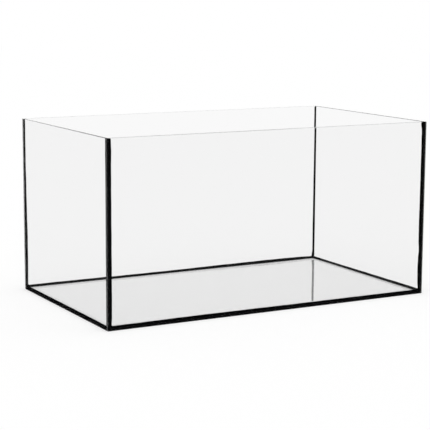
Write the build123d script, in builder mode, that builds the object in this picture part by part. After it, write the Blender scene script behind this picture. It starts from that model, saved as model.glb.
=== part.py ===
from build123d import *

import os
from math import hypot, sqrt

os.makedirs("parts", exist_ok=True)

# All-glass aquarium: five panes held together by silicone alone, open at the top.
# The origin is the middle of the footprint at table height, the front pane faces -Y.

# Outside of the tank
length = 600.0
depth = 350.0
height = 300.0

# Float glass, every cut edge ground to a narrow 45 degree arris
wall_glass = 4.0
base_glass = 4.0
arris = 0.5

# Structural silicone between pane edge and pane face
wall_bond = 1.0
base_bond = 1.0

# Sealing bead tooled into every inner corner with a ball-ended tool.
# A bead's leg is the width of silicone on each of its two panes.
floor_leg = 3.6  # round the floor
front_leg = 4.4  # in the upright corners at the front
front_end_leg = 5.4  # at the upper end of those, where the tool lifted off
rear_leg = 3.1  # in the upright corners at the rear, above the foot
rear_high_leg = 2.5  # near the rim, where the bead has thinned
rear_end_leg = 2.1  # at its upper end
tool_clear = 2.0  # how far the ball's centre runs past the edge of the bead
settle_rise = 12.0  # height over which an upright bead takes its own width
end_rise = 12.0  # height over which it takes the width of its end
rim_gap = 1.0  # glass left bare between the bead's end and the rim

inner_length = length - 2 * wall_glass
inner_depth = depth - 2 * wall_glass
side_run = inner_depth - 2 * wall_bond
base_length = inner_length - 2 * base_bond
base_depth = inner_depth - 2 * base_bond
tool_offset = floor_leg + tool_clear
bead_top = height - rim_gap

panes = {}


def finish(part, name):
    # every piece is labelled and written under its own name
    part.label = name
    export_step(part, f"parts/{name}.step")


def cove(leg):
    # section of a tooled bead: two sides on the glass, a hollow face left by the ball
    offset = leg + tool_clear
    middle = offset - hypot(offset, tool_clear) / sqrt(2)
    with BuildSketch() as section:
        with BuildLine():
            Line((0, 0), (leg, 0))
            ThreePointArc((leg, 0), (middle, middle), (0, leg))
            Line((0, leg), (0, 0))
        make_face()
    return section.sketch


# Front and rear panes run the whole length of the tank
for name, side in (("front_pane", -1), ("rear_pane", 1)):
    with BuildPart() as long_pane:
        with BuildSketch():
            with Locations((0, side * (depth - wall_glass) / 2)):
                Rectangle(length, wall_glass)
        extrude(amount=height)
        chamfer(long_pane.edges(), length=arris)
    panes[name] = long_pane.part
    finish(long_pane.part, name)

# Side panes stand between them, a bond line short at each end
for name, side in (("left_pane", -1), ("right_pane", 1)):
    with BuildPart() as side_pane:
        with BuildSketch():
            with Locations((side * (length - wall_glass) / 2, 0)):
                Rectangle(wall_glass, side_run)
        extrude(amount=height)
        chamfer(side_pane.edges(), length=arris)
    panes[name] = side_pane.part
    finish(side_pane.part, name)

# The base lies inside the four walls, level with their lower edges
with BuildPart() as base_pane:
    with BuildSketch():
        Rectangle(base_length, base_depth)
    extrude(amount=base_glass)
    chamfer(base_pane.edges(), length=arris)
finish(base_pane.part, "base_pane")

# Wall bonds fill the gap between a side pane's upright edge and the long pane,
# and the small grooves that the arrisses leave beside it
for face, along in (("front", -1), ("rear", 1)):
    for flank, across in (("left", -1), ("right", 1)):
        name = f"bond_{face}_{flank}"
        bond_start = inner_depth / 2 + arris
        bond_end = side_run / 2 - arris
        with BuildPart() as wall_seal:
            with BuildSketch(Plane.XY.offset(arris)):
                with Locations((across * (length - wall_glass) / 2, along * (bond_start + bond_end) / 2)):
                    Rectangle(wall_glass, bond_start - bond_end)
            extrude(amount=height - 2 * arris)
            add(panes[f"{face}_pane"], mode=Mode.SUBTRACT)
            add(panes[f"{flank}_pane"], mode=Mode.SUBTRACT)
        finish(wall_seal.part, name)

# Base bonds fill the gap round the base, the long ones through to the side panes
base_seals = {
    "front": (0, -1, inner_length, inner_depth / 2 - base_depth / 2 + arris),
    "rear": (0, 1, inner_length, inner_depth / 2 - base_depth / 2 + arris),
    "left": (-1, 0, inner_length / 2 - base_length / 2 + arris, base_depth - 2 * arris),
    "right": (1, 0, inner_length / 2 - base_length / 2 + arris, base_depth - 2 * arris),
}
for edge, (across, along, width, run) in base_seals.items():
    with BuildPart() as base_seal:
        with BuildSketch():
            with Locations((across * (inner_length - width) / 2, along * (inner_depth - run) / 2)):
                Rectangle(width, run)
        extrude(amount=base_glass)
        add(base_pane.part, mode=Mode.SUBTRACT)
    finish(base_seal.part, f"bond_base_{edge}")

# Legs of an upright bead above its foot, below its end and at its end
front_legs = (front_leg, front_leg, front_end_leg)
rear_legs = (rear_leg, rear_high_leg, rear_end_leg)

# Wall beads stand on the base in the four upright corners. Each foot is the
# three-way corner that the ball leaves where it turns from seam to seam, so it
# has the floor bead's width.
upright_corners = {
    "front_left": ((-1, -1), (1, 0, 0), front_legs),
    "front_right": ((1, -1), (0, 1, 0), front_legs),
    "rear_right": ((1, 1), (-1, 0, 0), rear_legs),
    "rear_left": ((-1, 1), (0, -1, 0), rear_legs),
}
for corner, ((across, along), first_leg, (low_leg, high_leg, end_leg)) in upright_corners.items():
    seat = (across * inner_length / 2, along * inner_depth / 2, base_glass)
    stand = Plane(origin=seat, x_dir=first_leg, z_dir=(0, 0, 1))
    with BuildPart() as wall_bead:
        with Locations(stand):
            Box(tool_offset, tool_offset, tool_offset, align=(Align.MIN, Align.MIN, Align.MIN))
            with Locations((tool_offset, tool_offset, tool_offset)):
                Sphere(hypot(tool_offset, tool_clear), mode=Mode.SUBTRACT)
        with BuildSketch(stand.offset(tool_offset)):
            add(cove(floor_leg))
        with BuildSketch(stand.offset(tool_offset + settle_rise)):
            add(cove(low_leg))
        with BuildSketch(stand.offset(bead_top - end_rise - base_glass)):
            add(cove(high_leg))
        with BuildSketch(stand.offset(bead_top - base_glass)):
            add(cove(end_leg))
        loft(ruled=True)
    finish(wall_bead.part, f"bead_{corner}")

# Base beads run from corner to corner between the feet of the wall beads
base_seams = {
    "front": ((-inner_length / 2 + tool_offset, -inner_depth / 2), (0, 1, 0), (1, 0, 0), inner_length),
    "rear": ((-inner_length / 2 + tool_offset, inner_depth / 2), (0, 0, 1), (1, 0, 0), inner_length),
    "left": ((-inner_length / 2, -inner_depth / 2 + tool_offset), (0, 0, 1), (0, 1, 0), inner_depth),
    "right": ((inner_length / 2, -inner_depth / 2 + tool_offset), (-1, 0, 0), (0, 1, 0), inner_depth),
}
for edge, (start, first_leg, direction, run) in base_seams.items():
    with BuildPart() as base_bead:
        with BuildSketch(Plane(origin=(*start, base_glass), x_dir=first_leg, z_dir=direction)):
            add(cove(floor_leg))
        extrude(amount=run - 2 * tool_offset)
    finish(base_bead.part, f"bead_base_{edge}")
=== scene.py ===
import math

import bmesh
import bpy
from mathutils import Matrix, Vector


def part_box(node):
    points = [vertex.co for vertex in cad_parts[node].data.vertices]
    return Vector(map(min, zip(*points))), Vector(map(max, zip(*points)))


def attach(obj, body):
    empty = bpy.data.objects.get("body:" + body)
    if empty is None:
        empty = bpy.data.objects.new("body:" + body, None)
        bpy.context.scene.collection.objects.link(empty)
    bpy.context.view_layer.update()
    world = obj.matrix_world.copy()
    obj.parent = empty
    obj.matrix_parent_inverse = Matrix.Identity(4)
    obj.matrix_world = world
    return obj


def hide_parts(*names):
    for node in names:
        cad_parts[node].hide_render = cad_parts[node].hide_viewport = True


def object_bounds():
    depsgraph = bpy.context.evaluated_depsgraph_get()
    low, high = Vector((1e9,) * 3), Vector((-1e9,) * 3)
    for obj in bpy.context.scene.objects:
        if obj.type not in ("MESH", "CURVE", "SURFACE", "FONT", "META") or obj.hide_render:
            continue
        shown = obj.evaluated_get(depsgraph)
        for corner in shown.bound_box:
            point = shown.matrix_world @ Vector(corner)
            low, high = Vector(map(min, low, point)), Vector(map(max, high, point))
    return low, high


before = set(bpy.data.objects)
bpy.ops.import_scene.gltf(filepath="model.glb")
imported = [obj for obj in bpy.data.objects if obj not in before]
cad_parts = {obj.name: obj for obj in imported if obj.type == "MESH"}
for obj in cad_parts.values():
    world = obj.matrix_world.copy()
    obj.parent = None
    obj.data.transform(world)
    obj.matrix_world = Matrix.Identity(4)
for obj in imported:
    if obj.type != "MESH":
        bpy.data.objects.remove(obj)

cadLow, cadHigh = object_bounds()
mm = 0.001
axisNames = "xyz"

# What the frame says: where the glass lies and how large the silicone is
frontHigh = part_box("front_pane")[1]
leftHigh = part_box("left_pane")[1]
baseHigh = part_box("base_pane")[1]
footLow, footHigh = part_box("bead_rear_right")
seamLow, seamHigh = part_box("bead_base_rear")

outerX = frontHigh.x
innerX = -leftHigh.x
innerY = -frontHigh.y
floorZ = baseHigh.z
wallGlass = outerX - innerX
wallGap = innerY - leftHigh.y
baseGap = innerX - baseHigh.x
beadLeg = seamHigh.z - seamLow.z
toolOffset = footHigh.x - footLow.x
beadTop = footHigh.z


def hexToLinear(code):
    channels = [int(code[i:i + 2], 16) / 255 for i in (1, 3, 5)]
    return tuple(c / 12.92 if c <= 0.04045 else ((c + 0.055) / 1.055) ** 2.4 for c in channels) + (1.0,)


def faceTint(code):
    # light crosses two faces of a pane, so each face has the square root of the tint
    return [c ** 0.5 for c in hexToLinear(code)]


def addNode(tree, kind, inputs=None, **settings):
    # in inputs, a socket is linked and a number or colour is set. A setting with a socket's name goes to
    # that socket, any other to the node itself.
    node = tree.nodes.new(kind)
    for name, value in settings.items():
        socket = name.replace("_", " ")
        if socket in node.inputs:
            node.inputs[socket].default_value = value
        else:
            setattr(node, name, value)
    for place, source in (inputs or {}).items():
        if isinstance(source, bpy.types.NodeSocket):
            tree.links.new(source, node.inputs[place])
        else:
            node.inputs[place].default_value = source
    return node


def newMaterial(name):
    material = bpy.data.materials.new(name)
    material.use_nodes = True
    material.node_tree.nodes.clear()
    return material, material.node_tree


# Float glass, drawn flat and left as it comes off the line: nearly colourless, mirror smooth, it shows
# as a faint grey veil over what is behind it. Its cut edges are ground, so they are satin and grey.
glass = {
    "ior": 1.52,
    "lampTint": "#FCFCFC",
    "totalMirror": 0.9,  # from this much on, light inside a pane is led along it and loses nothing
    "drawnFace": 0.95,  # cosine to the pane's thin axis: a face with less than this is a ground edge
    "edgeTint": "#F0F3F1",
    "edgeRoughness": 0.22,
    "grindSpacing": 0.8 * mm,  # real grinding lines are about 0.1 mm apart, too fine to show
    "grindLength": 9.6 * mm,
    "grindDepth": 0.03 * mm,
    "grindStrength": 0.6,
}
panes = {
    # mirror: the share that the faces keep. The walls look as through a polarising filter.
    # edgeGloss: the gloss on the ground edges. edgeMirror: the share of their mirror that they keep at the
    # front and at the rear of the tank: a painted reflection, which makes the rims paler towards the rear.
    "longPanes": {
        "nodes": ("front_pane", "rear_pane"),
        "thinAxis": 1,
        "tint": "#F9F9F9",
        "mirror": 0.03,
        "gloss": 0.0,
        "edgeGloss": 0.4,
        "edgeMirror": (0.53, 1.0),
    },
    "sidePanes": {
        "nodes": ("left_pane", "right_pane"),
        "thinAxis": 0,
        "tint": "#F9F9F9",
        "mirror": 0.03,
        "gloss": 0.0,
        "edgeGloss": 1.0,
        "edgeMirror": (0.5, 1.0),
    },
    "basePane": {
        "nodes": ("base_pane",),
        "thinAxis": 2,
        # darker than the walls' tint: painted shade on the table under the tank, besides the glass's own
        # tint
        "tint": "#E6E6E6",
        "mirror": 1.0,
        "gloss": 0.75,  # it mirrors nearly as much as two sheets do
        "edgeGloss": 0.0,
        "edgeMirror": (0.6, 1.0),
        # beside the beads it mirrors no more than a wall, so that they have no grey mirror image at their
        # foot. The mirror comes back between these distances off the side panes, and off the long panes.
        "stripMirror": 0.03,
        "beadStrip": ((9.5 * mm, 12.5 * mm), (17 * mm, 22 * mm)),
    },
}


def fadedAtBeads(tree, inside, pane):
    ramps = []
    for axis, (inner, (start, end)) in enumerate(zip((innerX, innerY), pane["beadStrip"])):
        off = addNode(tree, "ShaderNodeMath", {0: inside.outputs[axis]}, operation="ABSOLUTE")
        ramp = addNode(tree, "ShaderNodeMapRange", {"Value": off.outputs[0]}, From_Min=inner - start,
                       From_Max=inner - end, To_Min=pane["stripMirror"], To_Max=pane["mirror"])
        ramps.append(ramp.outputs[0])
    return addNode(tree, "ShaderNodeMath", {0: ramps[0], 1: ramps[1]}, operation="MINIMUM").outputs[0]


def floatGlass(name, pane):
    material, tree = newMaterial(name)
    thinAxis = pane["thinAxis"]
    place = addNode(tree, "ShaderNodeTexCoord")
    inside = addNode(tree, "ShaderNodeSeparateXYZ", {0: place.outputs["Object"]})
    facing = addNode(tree, "ShaderNodeSeparateXYZ", {0: place.outputs["Normal"]})
    squareOn = addNode(tree, "ShaderNodeMath", {0: facing.outputs[thinAxis]}, operation="ABSOLUTE")
    isEdge = addNode(tree, "ShaderNodeMath", {0: squareOn.outputs[0], 1: glass["drawnFace"]},
                     operation="LESS_THAN")

    # the drawn faces: all that comes through, and as much of the mirror as the pane keeps
    mirroring = addNode(tree, "ShaderNodeBsdfPrincipled", Base_Color=hexToLinear(pane["tint"]),
                        IOR=glass["ior"], Roughness=0.0, Transmission_Weight=1.0,
                        Coat_Weight=pane["gloss"], Coat_IOR=glass["ior"], Coat_Roughness=0.0)
    unmirrored = addNode(tree, "ShaderNodeBsdfRefraction", Color=faceTint(pane["tint"]), IOR=glass["ior"],
                         Roughness=0.0)
    bounce = addNode(tree, "ShaderNodeFresnel", IOR=glass["ior"])
    ledOn = addNode(tree, "ShaderNodeMath", {0: bounce.outputs[0], 1: glass["totalMirror"]},
                    operation="GREATER_THAN")
    kept = fadedAtBeads(tree, inside, pane) if "beadStrip" in pane else pane["mirror"]
    share = addNode(tree, "ShaderNodeMath", {0: ledOn.outputs[0], 1: kept}, operation="MAXIMUM")
    face = addNode(tree, "ShaderNodeMixShader",
                   {0: share.outputs[0], 1: unmirrored.outputs[0], 2: mirroring.outputs[0]})

    # the ground edges: the wheel ran along them, so its lines do too
    scale = [1 / glass["grindLength"]] * 3
    scale[thinAxis] = 1 / glass["grindSpacing"]
    grain = addNode(tree, "ShaderNodeMapping", {"Vector": place.outputs["Object"]}, Scale=scale)
    lines = addNode(tree, "ShaderNodeTexNoise", {"Vector": grain.outputs[0]}, Scale=1.0, Detail=2.0)
    relief = addNode(tree, "ShaderNodeBump", {"Height": lines.outputs[0]}, Strength=glass["grindStrength"],
                     Distance=glass["grindDepth"])
    ground = addNode(tree, "ShaderNodeBsdfPrincipled", {"Normal": relief.outputs[0]},
                     Base_Color=hexToLinear(glass["edgeTint"]), IOR=glass["ior"],
                     Roughness=glass["edgeRoughness"], Transmission_Weight=1.0,
                     Coat_Weight=pane["edgeGloss"], Coat_IOR=glass["ior"],
                     Coat_Roughness=glass["edgeRoughness"])
    scatter = addNode(tree, "ShaderNodeBsdfRefraction", {"Normal": relief.outputs[0]},
                      Color=faceTint(glass["edgeTint"]), IOR=glass["ior"], Roughness=glass["edgeRoughness"])
    # painted reflection: the edges keep more mirror towards the rear, so the rims show paler there
    frontMirror, rearMirror = pane["edgeMirror"]
    paintedRimReflection = addNode(tree, "ShaderNodeMapRange", {"Value": inside.outputs[1]}, From_Min=cadLow.y,
                     From_Max=cadHigh.y, To_Min=frontMirror, To_Max=rearMirror)
    edge = addNode(tree, "ShaderNodeMixShader",
                   {0: paintedRimReflection.outputs[0], 1: scatter.outputs[0], 2: ground.outputs[0]})
    both = addNode(tree, "ShaderNodeMixShader",
                   {0: isEdge.outputs[0], 1: face.outputs[0], 2: edge.outputs[0]})

    # light from the lamps and light scattered by the silicone goes straight through
    ray = addNode(tree, "ShaderNodeLightPath")
    clear = addNode(tree, "ShaderNodeBsdfTransparent", Color=hexToLinear(glass["lampTint"]))
    scattered = addNode(tree, "ShaderNodeMixShader",
                        {0: ray.outputs["Is Diffuse Ray"], 1: both.outputs[0], 2: clear.outputs[0]})
    shadow = addNode(tree, "ShaderNodeMixShader",
                     {0: ray.outputs["Is Shadow Ray"], 1: scattered.outputs[0], 2: clear.outputs[0]})
    addNode(tree, "ShaderNodeOutputMaterial", {"Surface": shadow.outputs[0]})
    return material


print("glass: the five panes keep their CAD shape")
for pane in panes.values():
    drawn = floatGlass(f"floatGlassGroundEdges_{axisNames[pane['thinAxis']]}", pane)
    for node in pane["nodes"]:
        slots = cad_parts[node].data.materials
        slots.clear()
        slots.append(drawn)

# Neutral-cure silicone with carbon black. Where a tool has smoothed it, it is satin with faint drag
# lines along the seam. Where it wets the glass it has no surface of its own and is simply black.
silicone = {
    "colour": "#070708",
    "pressedPaintedPaler": "#131314",  # painted light: paler than the beads' black, so the joint shows dark grey
    "ior": 1.41,
    "gloss": 0.09,
    "roughness": (0.28, 0.44),  # from drag line to drag line
    "dragSpacing": 0.5 * mm,
    "dragLength": 14.0 * mm,
    "dragDepth": 0.02 * mm,
    "dragStrength": 0.5,
    "wettedRoughness": 0.6,
    "cloudSize": 9 * mm,  # the black is mixed in a little unevenly
    "cloudChange": 0.3,  # as a share of the colour
}


def smoothedSilicone(name, alongAxis):
    material, tree = newMaterial(name)
    place = addNode(tree, "ShaderNodeTexCoord")
    scale = [1 / silicone["dragSpacing"]] * 3
    scale[alongAxis] = 1 / silicone["dragLength"]
    stretch = addNode(tree, "ShaderNodeMapping", {"Vector": place.outputs["Object"]}, Scale=scale)
    drag = addNode(tree, "ShaderNodeTexNoise", {"Vector": stretch.outputs[0]}, Scale=1.0, Detail=3.0)
    relief = addNode(tree, "ShaderNodeBump", {"Height": drag.outputs[0]}, Strength=silicone["dragStrength"],
                     Distance=silicone["dragDepth"])
    smoothest, roughest = silicone["roughness"]
    shine = addNode(tree, "ShaderNodeMapRange", {"Value": drag.outputs[0]}, To_Min=smoothest,
                    To_Max=roughest)
    surface = addNode(tree, "ShaderNodeBsdfPrincipled",
                      {"Normal": relief.outputs[0], "Roughness": shine.outputs[0]},
                      Base_Color=hexToLinear(silicone["colour"]), IOR=silicone["ior"],
                      Specular_IOR_Level=silicone["gloss"])
    addNode(tree, "ShaderNodeOutputMaterial", {"Surface": surface.outputs[0]})
    return material


def wettedSilicone(name, colour):
    material, tree = newMaterial(name)
    place = addNode(tree, "ShaderNodeTexCoord")
    cloud = addNode(tree, "ShaderNodeTexNoise", {"Vector": place.outputs["Object"]},
                    Scale=1 / silicone["cloudSize"], Detail=2.0)
    darker, paler = [[c * (1 + change) for c in hexToLinear(colour)]
                     for change in (-silicone["cloudChange"], silicone["cloudChange"])]
    shade = addNode(tree, "ShaderNodeMix", {"Factor": cloud.outputs[0], 6: darker, 7: paler},
                    data_type="RGBA")
    surface = addNode(tree, "ShaderNodeBsdfPrincipled", {"Base Color": shade.outputs[2]},
                      Roughness=silicone["wettedRoughness"], IOR=silicone["ior"], Specular_IOR_Level=0.0)
    addNode(tree, "ShaderNodeOutputMaterial", {"Surface": surface.outputs[0]})
    return material


siliconeSmoothed = [smoothedSilicone(f"blackSiliconeToolSmoothed_{axisNames[a]}", a) for a in range(3)]
siliconeWetted = wettedSilicone("blackSiliconeOnGlass", silicone["colour"])
siliconePaintedPaler = wettedSilicone("blackSiliconePressedPaintedPaler", silicone["pressedPaintedPaler"])

wet = 0.03 * mm  # how far silicone is sunk into the glass, so that no film of air lies between them
weld = 0.0005 * mm  # points of a skin nearer than this are one
creaseAngle = 30  # in degrees, from which two faces of a skin meet in a crease


def sweptPiece(name, rings, segmentSlots, materials, node):
    # a closed skin through rings of points, each ring one section of the silicone
    mesh = bpy.data.meshes.new(name)
    builder = bmesh.new()
    made = [[builder.verts.new(p) for p in ring] for ring in rings]
    count = len(rings[0])
    for lower, upper in zip(made, made[1:]):
        for i in range(count):
            j = (i + 1) % count
            face = builder.faces.new((lower[i], lower[j], upper[j], upper[i]))
            face.material_index = segmentSlots[i]
    for ring in (made[0], made[-1]):
        builder.faces.new(ring)
    bmesh.ops.remove_doubles(builder, verts=builder.verts, dist=weld)
    bmesh.ops.dissolve_degenerate(builder, edges=builder.edges, dist=weld)
    bmesh.ops.recalc_face_normals(builder, faces=builder.faces)
    builder.to_mesh(mesh)
    builder.free()
    mesh.polygons.foreach_set("use_smooth", [True] * len(mesh.polygons))
    mesh.set_sharp_from_angle(angle=math.radians(creaseAngle))
    for material in materials:
        mesh.materials.append(material)
    piece = bpy.data.objects.new(name, mesh)
    bpy.context.scene.collection.objects.link(piece)
    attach(piece, "root")
    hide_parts(node)
    return piece


def evenly(start, end, spacing):
    count = max(1, round((end - start) / spacing))
    return [start + (end - start) * i / count for i in range(count + 1)]


def inCorner(section, across, along, z, sideX=innerX):
    # a level section of an upright seam, given as (in from the side pane, in from the long pane)
    return [Vector((across * (sideX - a), along * (innerY - b), z)) for a, b in section]


def acrossSeam(section, axis, side, place):
    # a section of a seam at the base, given as (in from the wall, up from the table)
    ring = []
    for inward, up in section:
        point = Vector((side[0] * (innerX - inward), side[1] * (innerY - inward), up))
        point[axis] = place
        ring.append(point)
    return ring


# The bead is what a ball leaves when it is run along the corner: the ball's centre is toolOffset from
# both panes. Hand work lets its width wander a little.
bead = {
    "arcSteps": 8,
    "footShares": (0.0, 0.12, 0.27, 0.44, 0.62, 0.79, 0.91, 1.0),  # heights of the foot's slices, in legs
    "settleShares": (0.2, 0.5, 1.0),  # and above its leg, as shares of the way to the ball's centre
    "slow": (47 * mm, 0.020),  # two waves of the hand: how long each is, and its share of the width
    "quick": (13 * mm, 0.012),
    "phase": 2.1,  # radians by which one seed shifts the slow wave
    "uprightSeeds": (1, 5.5),  # for the two edges of a bead, so that no two wander alike
    "floorSeeds": (11, 17.5),
    "calmEnd": 12 * mm,  # the width settles before a corner
    "step": 3.0 * mm,
    "endRound": 0.5 * mm,
    "endShare": 0.86,  # how much of the width the rounded end keeps
}
toolClear = toolOffset - beadLeg
ballRadius = math.hypot(toolOffset, toolClear)


def arcPoints(centre, radius, start, end):
    count = bead["arcSteps"]
    angles = [start + (end - start) * i / count for i in range(count + 1)]
    return [(centre + radius * math.cos(a), centre + radius * math.sin(a)) for a in angles]


def coveSection(legA, legB):
    # from the end of leg A on the first pane, over the hollow, to the end of leg B on the second
    start = math.atan2(-toolOffset, -toolClear)
    end = math.atan2(-toolClear, -toolOffset)
    unit = arcPoints(toolOffset, ballRadius, start, end)
    hollow = [(x * legA / beadLeg, y * legB / beadLeg) for x, y in unit]
    return [(-wet, -wet), (legA, -wet), *hollow, (-wet, legB)]


def matchFoot(section):
    # the foot's slices have one point more on each leg
    return [*section[:3], *section[2:-1], *section[-2:]]


def footSection(height):
    # level slice through the corner that the ball leaves where three seams meet
    reach = math.sqrt(ballRadius ** 2 - (toolOffset - height) ** 2)
    if reach < toolOffset:
        first, last, start, end = (toolOffset, 0), (0, toolOffset), -math.pi / 2, -math.pi
    else:
        gap = math.sqrt(reach ** 2 - toolOffset ** 2)
        first, last = (toolOffset - gap, 0), (0, toolOffset - gap)
        start, end = math.atan2(-toolOffset, -gap), math.atan2(-gap, -toolOffset)
    hollow = arcPoints(toolOffset, reach, start, end)
    return [(-wet, -wet), (first[0], -wet), first, *hollow, last, (-wet, last[1])]


# which stretches of a section wet the glass (1), and which are the tooled hollow (0)
coveSlots = [1, 1, *([0] * bead["arcSteps"]), 1, 1]
footSlots = [1, 1, 1, *([0] * bead["arcSteps"]), 1, 1, 1]


def wander(along, length, seed):
    # how much wider than its mean the bead is here, as a factor
    ease = min(1.0, along / bead["calmEnd"], (length - along) / bead["calmEnd"])
    total = 0.0
    for i, (wave, share) in enumerate((bead["slow"], bead["quick"])):
        total += share * math.sin(2 * math.pi * along / wave + seed * (bead["phase"] + i))
    return 1 + total * max(0.0, ease)


def smoothStep(t):
    t = min(1.0, max(0.0, t))
    return t * t * (3 - 2 * t)


def handWidths(place, stations):
    # widths of silicone on the glass at this place on the seam, eased from station to station
    for (before, *widthsBefore), (after, *widthsAfter) in zip(stations, stations[1:]):
        if place <= after * mm:
            share = smoothStep((place - before * mm) / ((after - before) * mm))
            return [(a + (b - a) * share) * mm for a, b in zip(widthsBefore, widthsAfter)]
    return [width * mm for width in stations[-1][1:]]


print("silicone: beads in the four upright corners")
footHeights = [share * beadLeg for share in bead["footShares"]]
footHeights += [beadLeg + share * toolClear for share in bead["settleShares"]]
footTop = (floorZ + toolOffset) / mm
uprightCorners = {
    # side of the tank, and (height, width) in mm from the foot to the end. Each was drawn up in one pull:
    # the front ones are fuller. In the front right corner the finger halted once, which left the bead
    # pinched low down, and it lifted off late.
    "bead_front_left": (-1, -1, (
        (footTop, 3.6), (22, 4.5), (252, 4.4), (276, 4.8), (296, 4.3), (299, 4.0))),
    "bead_front_right": (1, -1, (
        (footTop, 3.6), (20, 4.6), (48, 5.1), (62, 4.7), (77, 3.5), (94, 4.5), (110, 4.8), (140, 4.7),
        (165, 4.4), (284, 4.2), (297, 6.0), (299, 5.7))),
    "bead_rear_right": (1, 1, (
        (footTop, 3.6), (20, 2.2), (75, 2.4), (140, 2.2), (215, 2.0), (299, 1.6))),
    "bead_rear_left": (-1, 1, (
        (footTop, 3.6), (45, 4.0), (80, 4.0), (180, 2.9), (230, 2.4), (290, 2.5), (299, 2.3))),
}
roundFrom = beadTop - bead["endRound"]
run = roundFrom - floorZ - toolOffset
for seed, (node, (across, along, stations)) in enumerate(uprightCorners.items()):
    rings = [inCorner(footSection(0.0), across, along, floorZ - wet)]
    rings += [inCorner(footSection(h), across, along, floorZ + h) for h in footHeights]
    for z in evenly(floorZ + toolOffset, roundFrom, bead["step"])[1:]:
        width = handWidths(z, stations)[0]
        travelled = z - floorZ - toolOffset
        legA, legB = [width * wander(travelled, run, seed + edge) for edge in bead["uprightSeeds"]]
        rings.append(inCorner(matchFoot(coveSection(legA, legB)), across, along, z))
    endLeg = handWidths(beadTop, stations)[0] * bead["endShare"]
    rings.append(inCorner(matchFoot(coveSection(endLeg, endLeg)), across, along, beadTop))
    sweptPiece(f"{node}_tooled", rings, footSlots, [siliconeSmoothed[2], siliconeWetted], node)

print("silicone: beads round the floor")
endX = seamHigh.x / mm
endY = (innerY - toolOffset) / mm
floorSeams = {
    # axis it runs along, side of the tank, and (place, width on the floor, width up the wall) in mm from
    # its left or front end to the other
    "bead_base_front": (0, (0, -1), (
        (-endX, 3.6, 3.6), (-145, 4.3, 4.3), (-60, 4.2, 4.2), (40, 3.8, 3.8), (endX, 3.6, 3.6))),
    "bead_base_rear": (0, (0, 1), (
        (-endX, 3.6, 3.6), (-250, 2.7, 3.8), (-105, 2.8, 3.6), (-20, 2.9, 3.6), (105, 3.8, 4.5),
        (195, 4.4, 4.9), (255, 4.2, 4.6), (endX, 3.6, 3.6))),
    "bead_base_left": (1, (-1, 0), (
        (-endY, 3.6, 3.6), (-120, 3.9, 3.9), (120, 3.9, 3.9), (endY, 3.6, 3.6))),
    "bead_base_right": (1, (1, 0), (
        (-endY, 3.6, 3.6), (-130, 2.6, 3.9), (-70, 2.4, 3.7), (125, 2.3, 3.4), (endY, 3.6, 3.6))),
}
for seed, (node, (axis, side, stations)) in enumerate(floorSeams.items()):
    low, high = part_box(node)
    run = high[axis] - low[axis]
    rings = []
    for s in evenly(low[axis], high[axis], bead["step"]):
        legA, legB = [width * wander(s - low[axis], run, seed + edge)
                      for width, edge in zip(handWidths(s, stations), bead["floorSeeds"])]
        section = [(a, floorZ + b) for a, b in coveSection(legA, legB)]
        rings.append(acrossSeam(section, axis, side, s))
    sweptPiece(f"{node}_tooled", rings, coveSlots, [siliconeSmoothed[axis], siliconeWetted], node)

# Pressed silicone fills the joint between two panes. On the outside it was struck off with a blade,
# which leaves it slightly hollow between the two ground arrisses.
bond = {
    "arris": 0.5 * mm,
    "struckDepth": 0.12 * mm,
    "hollow": 0.16 * mm,
    "shoulderPlace": 0.45,  # off the middle of the joint, as a share of its width
    "shoulderHollow": 0.7,  # as a share of the hollow
    "underPlace": 0.7,  # underside of a base joint at the wall, as a share of the arris
    "underHollow": 0.4,  # as a share of the hollow
    "step": 6.0 * mm,
}


def wallBondSection():
    # (in from the tank's outer side face, from the long pane's inner face towards the side pane's edge)
    arris, struck, hollow = bond["arris"], bond["struckDepth"], bond["hollow"]
    gap, thick = wallGap, wallGlass
    middle = gap / 2
    shoulder = struck + hollow * bond["shoulderHollow"]
    toShoulder = gap * bond["shoulderPlace"]
    return [
        (struck, struck - arris - wet), (shoulder, middle - toShoulder), (struck + hollow, middle),
        (shoulder, middle + toShoulder), (struck, gap + arris - struck + wet), (arris, gap + wet),
        (thick - arris, gap + wet), (thick, gap + arris + wet), (thick, -wet), (arris, -wet),
    ]


def baseBondSection():
    # (in from the wall's inner face, up from the table)
    arris, struck = bond["arris"], bond["struckDepth"]
    gap, thick = baseGap, floorZ
    under = arris * bond["underPlace"]
    return [
        (-wet, under), (gap / 2, under + bond["hollow"] * bond["underHollow"]),
        (gap + arris - struck, struck), (gap + wet, arris), (gap + wet, thick - arris),
        (gap + arris, thick + wet), (-wet, thick + wet),
    ]


# which stretches of a section are pressed against glass (1), and which were struck off (0)
wallBondSlots = [0, 0, 0, 0, 1, 1, 1, 1, 1, 1]
baseBondSlots = [0, 0, 1, 1, 1, 1, 1]

print("silicone: bonds between the panes")
for along, face in ((-1, "front"), (1, "rear")):
    for across, flank in ((-1, "left"), (1, "right")):
        node = f"bond_{face}_{flank}"
        low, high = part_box(node)
        rings = [inCorner(wallBondSection(), across, along, z, outerX)
                 for z in evenly(low.z, high.z, bond["step"])]
        sweptPiece(f"{node}_pressed", rings, wallBondSlots, [siliconeSmoothed[2], siliconePaintedPaler], node)

baseJoints = {
    # axis it runs along, and side of the tank
    "bond_base_front": (0, (0, -1)),
    "bond_base_rear": (0, (0, 1)),
    "bond_base_left": (1, (-1, 0)),
    "bond_base_right": (1, (1, 0)),
}
for node, (axis, side) in baseJoints.items():
    low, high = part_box(node)
    rings = [acrossSeam(baseBondSection(), axis, side, s)
             for s in evenly(low[axis], high[axis], bond["step"])]
    sweptPiece(f"{node}_pressed", rings, baseBondSlots, [siliconeSmoothed[axis], siliconePaintedPaler], node)

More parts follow.
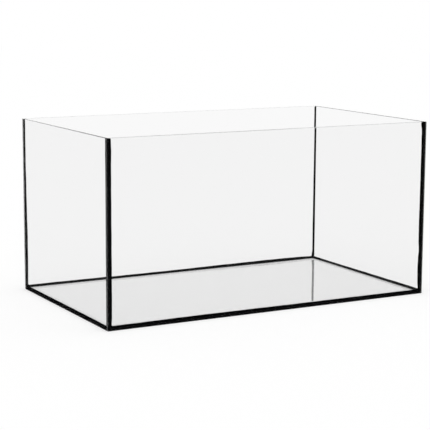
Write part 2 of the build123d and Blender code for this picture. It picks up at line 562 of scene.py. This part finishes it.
# Stage: a white table, white all round for what the camera, the gloss and the glass see
stage = {
    "radius": 9.0,
    "segments": 96,
    "drop": 0.3 * mm,
    "paper": "#E7E7E7",
    "paperGlow": 0.268,  # what the paper lacks to white under this light
    "roomLight": 0.6,
    "lamps": (
        # name, direction it shines from, spread in degrees, strength
        ("windowLeft", (-0.7, -0.5, 1.1), 50, 0.75),
        ("windowRight", (0.8, -0.2, 1.1), 50, 0.5),
    ),
}
white = (1.0, 1.0, 1.0, 1.0)


def seenDirectly(tree):
    # 1 for what the camera sees, straight, mirrored or through glass
    ray = addNode(tree, "ShaderNodeLightPath")
    first = addNode(tree, "ShaderNodeMath",
                    {0: ray.outputs["Is Camera Ray"], 1: ray.outputs["Is Glossy Ray"]}, operation="MAXIMUM")
    return addNode(tree, "ShaderNodeMath", {0: first.outputs[0], 1: ray.outputs["Is Transmission Ray"]},
                   operation="MAXIMUM").outputs[0]


print("stage: table, room light and lamps")
paper, tree = newMaterial("paperSweepMatt")
lift = addNode(tree, "ShaderNodeMath", {0: seenDirectly(tree), 1: stage["paperGlow"]}, operation="MULTIPLY")
matt = addNode(tree, "ShaderNodeBsdfDiffuse", Color=hexToLinear(stage["paper"]))
glow = addNode(tree, "ShaderNodeEmission", {"Strength": lift.outputs[0]}, Color=white)
lifted = addNode(tree, "ShaderNodeAddShader", {0: matt.outputs[0], 1: glow.outputs[0]})
addNode(tree, "ShaderNodeOutputMaterial", {"Surface": lifted.outputs[0]})

tableMesh = bpy.data.meshes.new("table")
builder = bmesh.new()
bmesh.ops.create_circle(builder, cap_ends=True, radius=stage["radius"], segments=stage["segments"])
builder.to_mesh(tableMesh)
builder.free()
tableMesh.materials.append(paper)
table = bpy.data.objects.new("table", tableMesh)
table.location.z = cadLow.z - stage["drop"]
bpy.context.scene.collection.objects.link(table)

world = bpy.data.worlds.new("studio")
bpy.context.scene.world = world
world.use_nodes = True
room = world.node_tree
room.nodes.clear()
lit = addNode(room, "ShaderNodeBackground", Color=white, Strength=stage["roomLight"])
shown = addNode(room, "ShaderNodeBackground", Color=white, Strength=1.0)
allRound = addNode(room, "ShaderNodeMixShader",
                   {0: seenDirectly(room), 1: lit.outputs[0], 2: shown.outputs[0]})
addNode(room, "ShaderNodeOutputWorld", {"Surface": allRound.outputs[0]})

for name, source, spread, strength in stage["lamps"]:
    data = bpy.data.lights.new(name, "SUN")
    data.angle = math.radians(spread)
    data.energy = strength
    lamp = bpy.data.objects.new(name, data)
    lamp.rotation_mode = "QUATERNION"
    lamp.rotation_quaternion = Vector(source).to_track_quat("Z", "Y")
    lamp.visible_camera = False
    lamp.visible_transmission = False
    lamp.visible_glossy = False
    bpy.context.scene.collection.objects.link(lamp)

bpy.context.scene.view_settings.view_transform = "Standard"

# The camera stands in front, to the left and a little above the rim
print("camera: three-quarter view from the front left")
view = {
    "place": (-1.18860, -2.13335, 0.53493),
    "turn": 0.50253,
    "tilt": 0.16241,
    "roll": 0.00538,
    "focalPixels": 1426.05,
    "imagePixels": 430,
    "sensor": 36.0,
}
cosTurn, sinTurn = math.cos(view["turn"]), math.sin(view["turn"])
cosTilt, sinTilt = math.cos(view["tilt"]), math.sin(view["tilt"])
cosRoll, sinRoll = math.cos(view["roll"]), math.sin(view["roll"])
ahead = Vector((sinTurn * cosTilt, cosTurn * cosTilt, -sinTilt))
levelRight = Vector((cosTurn, -sinTurn, 0))
levelUp = Vector((sinTurn * sinTilt, cosTurn * sinTilt, cosTilt))
right = cosRoll * levelRight + sinRoll * levelUp
up = -sinRoll * levelRight + cosRoll * levelUp
cameraData = bpy.data.cameras.new("camera")
cameraData.sensor_width = view["sensor"]
cameraData.lens = view["focalPixels"] / view["imagePixels"] * view["sensor"]
camera = bpy.data.objects.new("camera", cameraData)
camera.matrix_world = Matrix((
    (right.x, up.x, -ahead.x, view["place"][0]),
    (right.y, up.y, -ahead.y, view["place"][1]),
    (right.z, up.z, -ahead.z, view["place"][2]),
    (0, 0, 0, 1),
))
bpy.context.scene.collection.objects.link(camera)
bpy.context.scene.camera = camera
